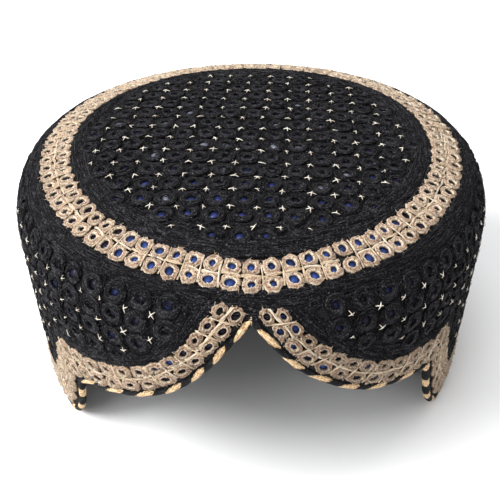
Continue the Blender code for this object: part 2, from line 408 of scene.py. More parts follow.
def rim_line():
    """The rim's edge once round, from the cusp by the right side, as turn and reach."""
    right = rim_half(2)
    left = mirrored(rim_half(1))
    turn = np.linspace(right[-1, 0], left[-1, 0], FLOOR_STEPS)[1:-1]
    return np.concatenate([right, pairs(turn, 0.0), left[:0:-1]])


def mitre(line):
    """Direction into the cloth at each point of the closed rim, lengthened at corners."""
    ahead = (np.roll(line, -1, axis=0) - line) * FLAT
    ahead[-1, 0] += WALL_ROUND
    into = leftward(unit(ahead))
    before = np.roll(into, 1, axis=0)
    joint = (into + before) / (1.0 + (into * before).sum(axis=1))[:, None]
    return joint / FLAT


def steps_along(line, count, widening=0.0, swing=0.0):
    """The same line, as turn and reach, in count steps that widen evenly along it. A sine
    of the size of swing holds the steps back in the first half, and sends them on in the
    second."""
    length = travel(line * FLAT)
    share = np.linspace(0.0, 1.0, count + 1)
    at = length[-1] * share * (1.0 - widening + widening * share)
    return at_distance(line, length, at - swing * np.sin(2 * pi * share))


def columns_along(foil, steep, widening, swing=0.0):
    """One line of the cells: past the foil's columns and down the steep side's."""
    foil = steps_along(foil, FOIL_COLUMNS, widening, swing)
    return np.concatenate([foil, steps_along(steep, STEEP_COLUMNS)[1:]])


def band_lines(column):
    """Foil and steep stretch of the cells' lower and upper line on one half."""
    rim = rim_line()
    edge = rim + mitre(rim) * (PIPING_WIDTH + BAND_MARGIN)
    half = FOIL_STEPS + len(STEEP_ROWS)
    if column == 1:
        edge = mirrored(np.concatenate([edge[:1], edge[:0:-1]]))
        edge[0, 0] = 0.0
    start = radians(BAND_START_TURN)
    height = np.interp(start, edge[:half, 0], edge[:half, 1])
    foil = np.concatenate([[[start, height]], edge[1:FOIL_STEPS]])
    places, values = table(BAND_FOIL_ROWS, column)
    turn = np.linspace(places[0], places[-1], 2 * FOIL_STEPS)
    foil_top = pairs(turn, smooth(turn, places, values))
    steep_top = pairs(*table(BAND_STEEP_ROWS, column))
    return foil, edge[FOIL_STEPS - 1:half], foil_top, steep_top


def rim_columns():
    """Lower and upper ends of the lines between the cells' columns, once round the rim."""
    halves = []
    for column in (2, 1):
        foil, steep, foil_top, steep_top = band_lines(column)
        halves.append((columns_along(foil, steep, FOIL_WIDENING, FOIL_SWING),
                       columns_along(foil_top, steep_top, FOIL_UPPER_WIDENING)))
    (right_lower, right_upper), left = halves
    left_lower, left_upper = (mirrored(line) for line in left)
    corner = radians(BAND_FLOOR_TURN)
    level = [[corner, BAND_FLOOR_HEIGHT], [2 * pi - corner, BAND_FLOOR_HEIGHT]]
    floor_lower = steps_along(np.stack([right_lower[-1], left_lower[-1]]), FLOOR_COLUMNS)
    floor_upper = np.concatenate([right_upper[-1:], level, left_upper[-1:]])
    floor_upper = steps_along(floor_upper, FLOOR_COLUMNS)
    lower = np.concatenate([right_lower, floor_lower[1:-1], left_lower[::-1]])
    upper = np.concatenate([right_upper, floor_upper[1:-1], left_upper[::-1]])
    return lower * FLAT, upper * FLAT


RIM_LOWER, RIM_UPPER = rim_columns()


def fine_upper_line():
    """Upper line of the rim's cells once round, finely and with its corners rounded."""
    line = np.concatenate([RIM_UPPER, RIM_UPPER[:1] + (WALL_ROUND, 0.0)])
    length = travel(line)
    at = np.linspace(0.0, length[-1], UPPER_LINE_STEPS + 1)[:-1]
    fine = at_distance(line, length, at)
    for _ in range(3):
        before, after = np.roll(fine, 1, axis=0), np.roll(fine, -1, axis=0)
        before[0] -= (WALL_ROUND, 0.0)
        after[-1] += (WALL_ROUND, 0.0)
        fine = (before + 2 * fine + after) / 4
    return fine


UPPER_LINE = fine_upper_line()


def distance_to_band(flat):
    """Distance of flat wall places from the upper line of the rim's cells."""
    gap = flat[:, None] - UPPER_LINE
    gap[..., 0] = (gap[..., 0] + WALL_ROUND / 2) % WALL_ROUND - WALL_ROUND / 2
    return np.hypot(gap[..., 0], gap[..., 1]).min(axis=1)


def above_band(flat):
    """Whether flat wall places lie above the upper line, by the line's height there."""
    line = UPPER_LINE[np.argsort(UPPER_LINE[:, 0])]
    return flat[:, 1] > np.interp(flat[:, 0] % WALL_ROUND, line[:, 0], line[:, 1])


def wall_sink(turn):
    """How far the wall's rows lie lower than beside the cusp: a smooth step to the sides."""
    away = np.abs(from_front(turn)) - WALL_SINK_START
    return WALL_SINK * eased(np.clip(away / WALL_SINK_SPAN, 0.0, 1.0))


# Materials


def put(value, socket):
    """Link a tone to an input, or set a number or a colour there."""
    if isinstance(value, Tone):
        socket.id_data.links.new(value.socket, socket)
    else:
        socket.default_value = (*value, 1.0) if socket.type == "RGBA" else value


def maths(operation, *values):
    """A tone that one node works out from one or two others."""
    tree = next(each for each in values if isinstance(each, Tone)).socket.id_data
    made = tree.nodes.new("ShaderNodeMath")
    made.operation = operation
    for value, socket in zip(values, made.inputs):
        put(value, socket)
    return Tone(made.outputs[0])


class Tone:
    """An output of a material's nodes. Arithmetic on it adds the nodes that work it out."""

    def __init__(self, socket):
        self.socket = socket

    def __add__(self, other):
        return maths("ADD", self, other)

    def __sub__(self, other):
        return maths("SUBTRACT", self, other)

    def __rsub__(self, other):
        return maths("SUBTRACT", other, self)

    def __mul__(self, other):
        return maths("MULTIPLY", self, other)

    def __truediv__(self, other):
        return maths("DIVIDE", self, other)

    def __pow__(self, other):
        return maths("POWER", self, other)

    def __lt__(self, other):
        return maths("LESS_THAN", self, other)

    def __gt__(self, other):
        return maths("GREATER_THAN", self, other)

    def __abs__(self):
        return maths("ABSOLUTE", self)

    def part(self):
        return maths("FRACT", self)

    def clamped(self):
        self.socket.node.use_clamp = True
        return self


class Finish:
    """A material or a world, and short ways to add nodes to it."""

    def __init__(self, owner):
        self.owner = owner
        owner.use_nodes = True
        self.nodes = owner.node_tree.nodes

    def add(self, kind, values, output=0, **settings):
        made = self.nodes.new(kind)
        for key, value in settings.items():
            setattr(made, key, value)
        for key, value in values.items():
            put(value, made.inputs[key])
        return Tone(made.outputs[output])

    def split(self, kind, value):
        made = self.add(kind, {0: value}).socket.node
        return [Tone(each) for each in made.outputs]

    def object_place(self):
        return self.add("ShaderNodeTexCoord", {}, "Object")

    def thread_place(self):
        return self.add("ShaderNodeUVMap", {}, uv_map="thread")

    def tint(self):
        return self.add("ShaderNodeAttribute", {}, attribute_name="tint", attribute_type="GEOMETRY")

    def channels(self):
        return self.split("ShaderNodeSeparateColor", self.tint())

    def noise(self, place, scale, detail=2.0, roughness=0.5):
        values = {"Vector": place, "Scale": scale, "Detail": detail, "Roughness": roughness}
        return self.add("ShaderNodeTexNoise", values)

    def grain(self, scale, detail=2.0, roughness=0.5):
        """Noise in the object's own space, at so many specks to the metre."""
        return self.noise(self.object_place(), scale, detail, roughness)

    def strands(self, place, along, round_it, roughness):
        """Noise that is stretched along a thread, at so many strands to the millimetre."""
        values = {"Vector": place, "Scale": (along, round_it, 1.0)}
        return self.noise(self.add("ShaderNodeMapping", values), 1.0, 3.0, roughness)

    def weave(self, place, axes, scale, distortion, detail=2.0):
        """Two sets of waves that cross, multiplied."""
        values = {"Vector": place, "Scale": scale, "Distortion": distortion, "Detail": detail}
        first, second = (self.add("ShaderNodeTexWave", values, "Fac", bands_direction=axis)
                         for axis in axes)
        return first * second

    def ramp(self, value, *stops):
        """Colours or greys at stops of a value."""
        made = self.add("ShaderNodeValToRGB", {"Fac": value})
        points = made.socket.node.color_ramp.elements
        while len(points) < len(stops):
            points.new(0.5)
        for point, (at, colour) in zip(points, stops):
            point.position = at
            point.color = (*np.broadcast_to(colour, 3), 1.0)
        return made

    def mix(self, share, first, second, blend="MIX"):
        values = {0: share, 6: first, 7: second}
        return self.add("ShaderNodeMix", values, 2, data_type="RGBA", blend_type=blend)

    def shaded(self, colour, shade, share=1.0):
        return self.mix(share, colour, shade, "MULTIPLY")

    def bump(self, height, distance, strength=1.0, **under):
        values = {"Height": height, "Distance": distance, "Strength": strength, **under}
        return self.add("ShaderNodeBump", values)

    def finish(self, colour, normal, **sockets):
        shader = self.nodes["Principled BSDF"]
        put(colour, shader.inputs["Base Color"])
        if normal:
            put(normal, shader.inputs["Normal"])
        for key, value in sockets.items():
            put(value, shader.inputs[key.replace("_", " ").title().replace("Ior", "IOR")])
        return self.owner


def black_thread():
    """Black embroidery thread: strands along the stitch with painted shade in the gaps
    between them and a painted sheen on them, a gloss that comes and goes with the strands,
    grey fluff whose pale specks are also painted glints, and painted shade where it lies low."""
    look = Finish(bpy.data.materials.new("black_thread"))
    depth = look.channels()[2]
    strands = look.strands(look.thread_place(), 0.14, 1.5, 0.7)
    fluff = look.grain(1500.0, 3.0, 0.75)
    mixed = strands * 0.68 + fluff * 0.32
    # Strand tones: painted shade in the gaps between strands and a painted sheen on them
    colour = look.ramp(mixed, (0.42, (0.0026, 0.0024, 0.0030)), (0.50, (0.0066, 0.0062, 0.0076)),
                    (0.60, (0.049, 0.048, 0.055)))
    # Painted shade: darker where the thread lies low, by the tint's depth
    colour = look.shaded(colour, look.ramp(depth, (0.0, 0.35), (0.55, 0.70), (1.0, 0.95)))
    # Grey fluff specks, which also stand in for painted glints on the fibres
    lint = ((fluff - 0.58).clamped() * 8.0).clamped()
    colour = look.mix(lint, colour, (0.12, 0.12, 0.13))
    shine = look.ramp(mixed, (0.45, 0.0), (0.52, 0.25), (0.60, 1.0))
    rough = 0.95 - depth * shine * look.grain(110.0, 3.0)
    normal = look.bump(fluff, 0.3 * MM, 0.8, Normal=look.bump(strands, 0.9 * MM))
    return look.finish(colour, normal, roughness=rough, specular_ior_level=0.09,
                    sheen_weight=0.02, sheen_roughness=0.4)


def black_cloth():
    """Matt black cotton ground: a plain weave of fine crossing yarns."""
    look = Finish(bpy.data.materials.new("black_cloth"))
    weave = look.weave(look.object_place(), "XZ", 620.0, 1.5, 1.0)
    grain = look.grain(700.0, 3.0)
    colour = look.ramp(grain, (0.3, (0.006, 0.006, 0.007)), (0.75, (0.022, 0.022, 0.025)))
    return look.finish(colour, look.bump(weave, 0.3 * MM), roughness=0.85, specular_ior_level=0.2)


def lining_cloth():
    """Plain black lining: fine cotton with dust-grey flecks, quilted in rows. Across a row
    the groove falls in a straight line from the seam, with painted shade in it, and its
    stitches are dashes."""
    look = Finish(bpy.data.materials.new("lining_cloth"))
    place = look.thread_place()
    weave = look.weave(place, "XY", 0.5, 0.6)
    grain = look.grain(45.0, 3.0)
    colour = look.ramp(grain, (0.3, (0.018, 0.018, 0.021)), (0.75, (0.034, 0.034, 0.038)))
    lint = ((look.grain(900.0, 2.0, 0.7) - 0.66).clamped() * 2.0).clamped()
    colour = look.mix(lint, colour, (0.2, 0.2, 0.21))
    along, across = look.split("ShaderNodeSeparateXYZ", place)[:2]
    row = (across * (MM / QUILT_PITCH)).part()
    groove = (1.0 - abs(row - 0.5) * 9.0).clamped()
    stitch = ((along * 0.2).part() < 0.6) * (groove > 0.6)
    # Painted shade in the quilting groove
    colour = look.shaded(colour, look.ramp(groove, (0.0, 1.0), (1.0, 0.45)))
    colour = look.mix(stitch * 0.8, colour, (0.07, 0.07, 0.075))
    normal = look.bump(weave * 0.25 - (groove - stitch), 0.5 * MM, 0.8)
    return look.finish(colour, normal, roughness=0.8, sheen_weight=0.15, sheen_roughness=0.5)


def straw_thread():
    """Straw-coloured cell thread: stitches across the ring, a pale lip round the hole and
    along the outer edge, reddish tan between them, small dark gaps, and painted shade
    where the cell lies low."""
    look = Finish(bpy.data.materials.new("straw_thread"))
    cell, share, depth = look.channels()
    across = look.strands(look.thread_place(), 2.4, 0.8, 0.65)
    grain = look.grain(1900.0, 3.0, 0.7)
    lip = look.ramp(share, (0.0, 0.95), (0.16, 0.62), (0.32, 0.22), (0.60, 0.18), (0.78, 0.85),
                    (0.9, 1.0))
    pale = (lip + across * 3.2 + grain * 2.8 - 3.0).clamped()
    colour = look.mix(pale, (0.50, 0.285, 0.18), (0.99, 0.86, 0.66))
    colour = look.shaded(colour, look.mix(cell, (1.0, 1.0, 1.0), (0.64, 0.60, 0.56)))
    gaps = look.ramp(look.grain(1500.0, 3.0, 0.6), (0.37, (0.14, 0.085, 0.06)), (0.45, 1.0))
    colour = look.shaded(colour, gaps, 0.85)
    # Painted shade: darker where the cell lies low, by the tint's depth
    painted_crease_shade = look.ramp(depth, (0.1, (0.13, 0.09, 0.07)), (0.42, (0.70, 0.64, 0.60)), (0.72, 1.0))
    return look.finish(look.shaded(colour, painted_crease_shade), look.bump(across + grain, 0.9 * MM), roughness=0.7,
                    specular_ior_level=0.25, sheen_weight=0.1, sheen_roughness=0.4)


def cream_thread():
    """Cream thread: smooth strands along the stitch, each thread darker and yellower by its own tone.
    """
    look = Finish(bpy.data.materials.new("cream_thread"))
    cell = look.channels()[0]
    strands = look.strands(look.thread_place(), 0.4, 2.6, 0.65)
    colour = look.ramp(strands, (0.38, (0.36, 0.31, 0.25)), (0.48, (0.78, 0.73, 0.64)),
                    (0.62, (0.92, 0.90, 0.84)))
    # Each thread is darker and yellower by its own tone, the tint's first channel
    colour = look.shaded(colour, look.mix(cell, (0.95, 0.94, 0.93), (0.62, 0.50, 0.36)))
    return look.finish(colour, look.bump(strands, 0.25 * MM, 0.8), roughness=0.5,
                    specular_ior_level=0.35, sheen_weight=0.1)


def mirror_glass():
    """Small hand-cut mirrors: an even painted reflection from each mirror's tint, a little dull and
    scratched.
    """
    look = Finish(bpy.data.materials.new("mirror_glass"))
    dirt = look.grain(900.0, 3.0, 0.7)
    soiled = ((dirt - 0.52).clamped() * 2.5).clamped()
    colour = look.mix(soiled, look.tint(), (0.012, 0.012, 0.03))
    return look.finish(colour, look.bump(dirt, 0.02 * MM, 0.5), roughness=dirt * 0.3 + 0.28,
                    metallic=0.3, specular_ior_level=0.2)


def edge_cord():
    """Plaited edge cord: gold leaves of thread on a black ground.

    The uv's first part counts the leaves and its second part goes from the cord's outer
    edge to its back. The tint's first channel is the leaves' spacing as a share of
    LEAF_UNIT, its second one is 1 where they are leaves and 0 where they are bands, and its
    third one is 1 on the left and 0 on the right. A leaf is as wide as a power of the place
    along it, and it slants to the cord, the same way round the cord on both sides.
    """
    look = Finish(bpy.data.materials.new("edge_cord"))
    count, from_edge = look.split("ShaderNodeSeparateXYZ", look.thread_place())[:2]
    spacing, leafy, left = look.channels()

    def between(band, leaf):
        return leafy * (leaf - band) + band

    wobble = look.grain(420.0) * 0.06
    along = ((count + wobble).part() - 0.53) * spacing * (left * 2.0 - 1.0) * (LEAF_UNIT / MM)
    around = (from_edge - between(0.1, LEAF_MIDDLE)) * (pi * PIPING_WIDTH / 2 / MM)
    slant = radians(LEAF_SLANT)
    over = along * sin(slant) + around * cos(slant)
    ahead = along * cos(slant) - around * sin(slant)
    reach = spacing * (LEAF_UNIT / MM) * between(0.21, 0.40)
    width = between(5.0, 1.35) * (1.0 - abs(ahead / reach) ** 2.6)
    ragged = look.grain(1300.0) - 0.5
    gold = ((width + ragged - abs(over)) * 5.0).clamped()
    strands = look.strands(look.add("ShaderNodeCombineXYZ", {0: ahead, 1: over}), 0.35, 2.3, 0.65)
    tone = strands * 0.6 + look.grain(1500.0, 3.0, 0.7) * 0.4
    gold_colour = look.ramp(tone, (0.42, (0.22, 0.12, 0.05)), (0.49, (0.66, 0.45, 0.25)),
                         (0.58, (0.86, 0.68, 0.44)))
    black_colour = look.ramp(tone, (0.42, (0.001, 0.001, 0.0015)), (0.52, (0.004, 0.004, 0.005)),
                          (0.62, (0.035, 0.035, 0.038)))
    normal = look.bump(tone + gold * 0.35, 0.8 * MM)
    return look.finish(look.mix(gold, black_colour, gold_colour), normal, roughness=0.7,
                    specular_ior_level=0.1, sheen_weight=0.01)


def floor_card():
    """Plain pale floor with the faintest mottle."""
    look = Finish(bpy.data.materials.new("floor_card"))
    colour = look.ramp(look.grain(3.0), (0.3, (0.90, 0.90, 0.905)), (0.7, (0.92, 0.92, 0.925)))
    return look.finish(colour, None, roughness=0.9)


MATERIALS = {
    "black_thread": black_thread(),
    "black_cloth": black_cloth(),
    "lining": lining_cloth(),
    "straw_thread": straw_thread(),
    "cream_thread": cream_thread(),
    "mirror": mirror_glass(),
    "cord": edge_cord(),
}


# Meshes


def ripple(seed, x, y, length, terms=7):
    """Smooth random relief of about -1 to 1: a sum of sine waves of about this length,
    each with its own heading and phase."""
    rng = np.random.default_rng(seed)
    heading = rng.uniform(0.0, 2 * pi, terms)
    wave = 2 * pi / (length * rng.uniform(0.7, 1.4, terms))
    phase = rng.uniform(0.0, 2 * pi, terms)
    at = (x[..., None] * np.cos(heading) + y[..., None] * np.sin(heading)) * wave + phase
    return np.sin(at).sum(axis=-1) / terms ** 0.5


def patch(points, uv, tint=(0.5, 0.5, 1.0), caps=False):
    """Faces over a stack of grids of points, with the normal along columns x rows.

    The columns go round, and the uv grid has one column more. The rows go round too, with
    one row more in the uv grid, or else caps close the first and the last row.
    """
    count, rows, cols = points.shape[:3]
    wide = cols + 1
    row = np.arange(rows - caps)[:, None]
    col = np.arange(cols)
    near, far = row * cols, (row + 1) % rows * cols
    after = (col + 1) % cols
    corners = np.stack([near + col, near + after, far + after, far + col], axis=-1).ravel()
    first = row * wide + col
    uv_corners = np.stack([first, first + 1, first + wide + 1, first + wide], axis=-1).ravel()
    sizes = np.full(len(corners) // 4, 4)
    if caps:
        corners = np.concatenate([corners, col[::-1], (rows - 1) * cols + col])
        uv_corners = np.concatenate([uv_corners, col[::-1], (rows - 1) * wide + col])
        sizes = np.append(sizes, [cols, cols])
    start = np.arange(count)[:, None] * rows * cols
    return {
        "points": points.reshape(-1, 3),
        "corners": (start + corners).ravel(),
        "uv": uv.reshape(count, -1, 2)[:, uv_corners].reshape(-1, 2),
        "sizes": np.tile(sizes, count),
        "tint": np.broadcast_to(tint, (count, rows, cols, 3)).reshape(-1, 3),
    }


def piece(name, patches, slot, *stands_for):
    """One object of the given patches, with its uv map, tint attribute and material."""
    points, uv, sizes, tint = (np.concatenate([each[key] for each in patches])
                               for key in ("points", "uv", "sizes", "tint"))
    shift = np.cumsum([0] + [len(each["points"]) for each in patches])
    corners = np.concatenate([each["corners"] + at for each, at in zip(patches, shift)])
    mesh = bpy.data.meshes.new(name)
    mesh.vertices.add(len(points))
    mesh.vertices.foreach_set("co", points.astype(np.float32).ravel())
    mesh.loops.add(len(corners))
    mesh.loops.foreach_set("vertex_index", corners.astype(np.int32))
    mesh.polygons.add(len(sizes))
    mesh.polygons.foreach_set("loop_start", (np.cumsum(sizes) - sizes).astype(np.int32))
    mesh.update(calc_edges=True)
    mesh.shade_smooth()
    uv_map = mesh.uv_layers.new(name="thread")
    uv_map.data.foreach_set("uv", uv.astype(np.float32).ravel())
    tint = np.column_stack([tint, np.ones(len(tint))])
    colours = mesh.attributes.new("tint", "FLOAT_COLOR", "POINT")
    colours.data.foreach_set("color", tint.astype(np.float32).ravel())
    mesh.materials.append(MATERIALS[slot])
    body = bpy.data.objects.new(name, mesh)
    bpy.context.scene.collection.objects.link(body)
    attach(body, "root")
    if stands_for:
        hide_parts(*stands_for)
    return body


def threads(ground, path, lift, half_width, half_height, sides=3, tint=(0.5, 0.5, 1.0)):
    """Threads on a ground, closed at both ends: an ellipse carried along each flat path.

    path is (count, steps, 2) and lift (count, steps). The uv is in millimetres, along the
    thread and round it.
    """
    side = -leftward(unit(np.gradient(path, axis=1)))[:, :, None]
    angle = angles(sides)
    half_width = np.broadcast_to(half_width, lift.shape)[..., None]
    half_height = np.broadcast_to(half_height, lift.shape)[..., None]
    flat = path[:, :, None] + side * (half_width * np.sin(angle))[..., None]
    lifts = lift[..., None] + half_height * np.cos(angle)
    step = np.hypot(*np.moveaxis(np.diff(path, axis=1), -1, 0))
    along = np.cumsum(np.pad(step, ((0, 0), (1, 0))), axis=1)[..., None] / MM
    round_it = np.linspace(0.0, 2 * pi, sides + 1) * half_width / MM
    return patch(ground(flat, lifts), pairs(along, round_it), tint, caps=True)


def ring_patch(ground, flat, lift, reach, share, size, tone, full_lift, shift=0.0):
    """Closed rings of thread, from grids of flat places and lifts.

    The rows go from the outer edge to the hole by a share of the way, and back under. The
    columns go round. The uv is in millimetres, round the ring and out from its centre,
    which is the reach times the size. The tint is the ring's tone, the share, and the lift
    as a share of the full one.
    """
    radius = np.pad(reach, ((0, 0), (0, 1), (0, 1)), "wrap") * size
    turns = np.linspace(0.0, 2 * pi, reach.shape[2] + 1)
    uv = pairs(turns * radius.mean(axis=2, keepdims=True), radius) + shift
    # The lift as a share of the full one, for the painted shade in the low parts
    depth = np.clip(lift / full_lift, 0.0, 1.0)
    tint = np.stack(np.broadcast_arrays(tone[:, None, None], share[:, None], depth), axis=-1)
    return patch(ground(flat, lift), uv, tint)


def mirrors(name, ground, centres, radii, lift, tints, seed):
    """Small closed mirror discs, each tipped a little its own way.

    tints are the painted blue reflection, the share of mirrors that show it, and the share
    of the others that show a painted paler grey reflection. The rest show a near black one.
    """
    deep, blue, pale_reflection_share = tints
    rng = np.random.default_rng(seed)
    count = len(centres)
    dark = DARK_MIRROR * rng.uniform(0.4, 2.2, (count, 1))
    deep = deep * rng.uniform(0.45, 1.2, (count, 1))
    pale = PALE_MIRROR * rng.uniform(0.3, 1.7, (count, 1))
    lit = (rng.uniform(0, 1, count) < blue)[:, None]
    pale_reflecting = (rng.uniform(0, 1, count) < pale_reflection_share)[:, None]
    # Each mirror's colour is a painted reflection: blue, paler grey or near black
    tint = np.where(lit, deep, np.where(pale_reflecting, pale, dark))
    rng = np.random.default_rng(seed + 1)
    spread = radii[:, None, None] * direction(angles(MIRROR_SIDES))
    tip = (rng.normal(0.0, 0.06, (count, 1, 2)) * spread).sum(axis=-1)
    flat = np.repeat((centres[:, None] + spread)[:, None], 2, axis=1)
    lifts = lift + tip[:, None] - np.array([[MIRROR_THICKNESS], [0.0]])
    uv = np.pad(flat, ((0, 0), (0, 0), (0, 1), (0, 0)), "wrap") / MM
    disc = patch(ground(flat, lifts), uv, tint[:, None, None], caps=True)
    piece(name, [disc], "mirror")


# Ground cloth and lining


def shell(reach, turn, outer_lift, inner_lift, flat):
    """Closed cloth: up the outer skin, then back down the inner one, once round.

    The rows go up and back, and the columns go round with the turn. flat is each point's
    place on the flat cloth, with the first column again at the end.
    """
    outer = on_cap(turn[:-1], reach[:, :-1], outer_lift)
    inner = on_cap(turn[:-1], reach[:, :-1], inner_lift)
    uv = np.concatenate([flat, flat[::-1], flat[:1]])[None] / MM
    return patch(np.concatenate([outer, inner[::-1]])[None], uv)


def cloth_and_lining(name, rows, reach_at, turn, flat_at, node):
    """A shell of cloth over its padded lining. The padding swells by a sine both ways, each
    of them pushed aside by a slower sine of the other."""
    split = -STITCH_DEPTH - CLOTH_THICKNESS + LINING_THICKNESS
    reach = reach_at(np.linspace(0.0, 1.0, rows)[:, None])
    cloth = shell(reach, turn, -STITCH_DEPTH, split + LINING_OVERLAP, flat_at(reach))
    reach = reach_at(np.linspace(0.0, 1.0, 2 * rows)[:, None])
    flat = flat_at(reach)
    x, y = (flat / LINING_PUFF * 2 * pi)[:, :-1].transpose(2, 0, 1)
    puff = 1.5 + np.sin(x + np.sin(0.7 * y)) + np.sin(y + np.sin(0.6 * x))
    inside = -STITCH_DEPTH - CLOTH_THICKNESS + LINING_PUFF_DEPTH * puff
    lining = shell(reach, turn, split, inside, flat)
    for made in (piece(name + "_cloth", [cloth], "black_cloth", node),
                 piece(name + "_lining", [lining], "lining")):
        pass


def crown_shells():
    """Crown cloth over its lining, each as a closed disc."""
    rows, cols = CROWN_CLOTH_GRID
    turn = np.linspace(0.0, 2 * pi, cols)
    seam = reach_at_radius(RING_OUTER_RADIUS) - CLEARANCE
    middle = LINE_REACH[-1] - 0.02 * MM

    def reach_at(share):
        return seam + (middle - seam) * share + 0 * turn

    def flat_at(reach):
        return at_reach(LINE, reach)[0][..., None] * direction(turn - pi / 2)

    cloth_and_lining("crown", rows, reach_at, turn, flat_at, "crown_top")


def wall_shells():
    """Wall cloth over its lining. Both run from the corded edge up to the crown's seam."""
    rim = rim_line()
    edge = rim + mitre(rim) * (PIPING_WIDTH - 0.5 * MM)
    rows, cols = WALL_CLOTH_GRID
    turn, foot = steps_along(np.concatenate([edge, edge[:1] + (2 * pi, 0.0)]), cols).T
    seam = reach_at_radius(RING_OUTER_RADIUS) - 2 * CLEARANCE

    def reach_at(share):
        return foot + (seam - foot) * share

    def flat_at(reach):
        return pairs(turn * WALL_RADIUS, reach - foot)

    cloth_and_lining("wall", rows, reach_at, turn, flat_at, "side_wall")


# Couched black threads


def couched(ground, line_in, line_out, pitch, height, low, seed):
    """Closed band of parallel threads between two flat lines of points, once round.

    The lift is the size of a sine across the band, one arch for each thread, and the
    threads wander by a smooth random share of their pitch. low gives shares of the way
    across and how many millimetres the band sinks there. The last row goes back under.
    """
    width = np.hypot(*(line_out - line_in).T).max()
    count = round(width / pitch)
    share = np.linspace(0.0, 1.0, 4 * count + 1)[:, None]
    flat = line_in + (line_out - line_in) * share[..., None]
    along, over = np.broadcast_arrays(travel(line_in), share * width)
    wander = sum(size * ripple(each, along, over, length, 6)
                 for each, (size, length) in enumerate(SATIN_WANDER, seed))
    arch = np.abs(np.sin(pi * (over / pitch + wander)))
    bulk = 0.4 * ripple(seed + 2, along / 7, over, 2.2 * MM)
    bulk = bulk + 0.2 * ripple(seed + 3, along, over, 5 * MM)
    lift = height * (arch ** 0.8 + 0.55 * bulk) - np.interp(share, *low) * MM
    # How high each point lies across the threads, for the painted shade in the dips between them
    depth = np.clip(0.10 + 0.50 * arch + 0.36 * bulk, 0.0, 1.0)
    edge = np.clip(np.minimum(share, 1 - share) * count * 1.2, 0.0, 1.0)
    lift = lift * edge - (1 - edge) * STITCH_DEPTH * 0.8
    under = ((0, 2), (0, 0))
    flat = np.concatenate([flat, flat[-1:], flat[:1]])[None]
    lift = np.pad(lift, under, constant_values=-1.05 * STITCH_DEPTH)[None]
    rows = np.append(np.arange(lift.shape[1]) * width / (4 * count), 0.0)
    cols = travel(line_in)
    cols = np.append(cols, 2 * cols[-1] - cols[-2])
    uv = pairs(cols, rows[:, None])[None] / MM
    return patch(ground(flat, lift), uv, np.pad(depth, under)[None, ..., None])


def loose_threads(ground, start, heading, length, seed, bend=0.25, radius=0.16, lift=0.35):
    """Single threads on top: each follows its heading with a slowly changing bend, and
    rises between its ends by the root of a sine. Radius and lift are in millimetres."""
    rng = np.random.default_rng(seed)
    each, steps = (len(start), 1), 7
    share = np.linspace(0.0, 1.0, steps)
    sway = rng.normal(0, 1, each) * share + rng.normal(0, 0.7, each) * np.sin(pi * share)
    step = direction(heading[:, None] + bend * sway) * (length / (steps - 1))[:, None, None]
    path = start[:, None] + np.cumsum(step, axis=1)
    rise = (lift + rng.uniform(-0.15, 0.35, each)) * np.sin(pi * share) ** 0.5 - 0.1
    return threads(ground, path, rise * MM, radius * MM, radius * MM)


def crown_satin():
    """Threads that run round between the crown's rings and its straw-coloured cells."""
    turn = angles(CROWN_SATIN_STEPS)
    spread = direction(turn - pi / 2) * swell(turn)[:, None]
    outer, inner = spread * (RING_INNER_RADIUS + SATIN_OVERLAP), spread * CROWN_SATIN_RADIUS
    band = couched(on_crown, outer, inner, SATIN_PITCH, 0.50 * MM, CROWN_SATIN_LOW, 31)
    rng = np.random.default_rng(32)
    at = rng.uniform(0.0, 2 * pi, CROWN_LOOSE)
    start = direction(at - pi / 2) * rng.uniform(65.0, 70.4, CROWN_LOOSE)[:, None] * MM
    top = loose_threads(on_crown, start, at, rng.uniform(7, 22, CROWN_LOOSE) * MM, 33, 0.12)
    piece("crown_satin", [band, top], "black_thread")


def shoulder_satin():
    """Threads that run round the shoulder, from the crown's cells down to the wall's rings.
    Beside the cusp they dip behind the rim's cells."""
    turn = angles(SHOULDER_SATIN_STEPS) - pi
    near = np.clip((np.degrees(np.abs(turn)) - DIP_START) / DIP_SPAN, 0.0, 1.0)
    top = reach_at_radius(RING_OUTER_RADIUS) + SHOULDER_SATIN_OVERLAP
    foot = (WALL_TOP_ROW + SHOULDER_SATIN_RISE - wall_sink(turn)
            - (1 - eased(near)) * SHOULDER_SATIN_DIP)
    line_low, line_top = (pairs(turn * WALL_RADIUS, at) for at in (foot, top))
    band = couched(on_wall, line_low, line_top, SATIN_PITCH, 0.48 * MM, SHOULDER_SATIN_LOW, 41)
    rng = np.random.default_rng(42)
    count = SHOULDER_LOOSE
    start = pairs(rng.uniform(-pi, pi, count) * WALL_RADIUS, rng.uniform(88.5, 96.0, count) * MM)
    heading = rng.normal(0.0, 0.06, count)
    over = loose_threads(on_wall, start, heading, rng.uniform(8, 26, count) * MM, 43, 0.10)
    piece("shoulder_satin", [band, over], "black_thread")


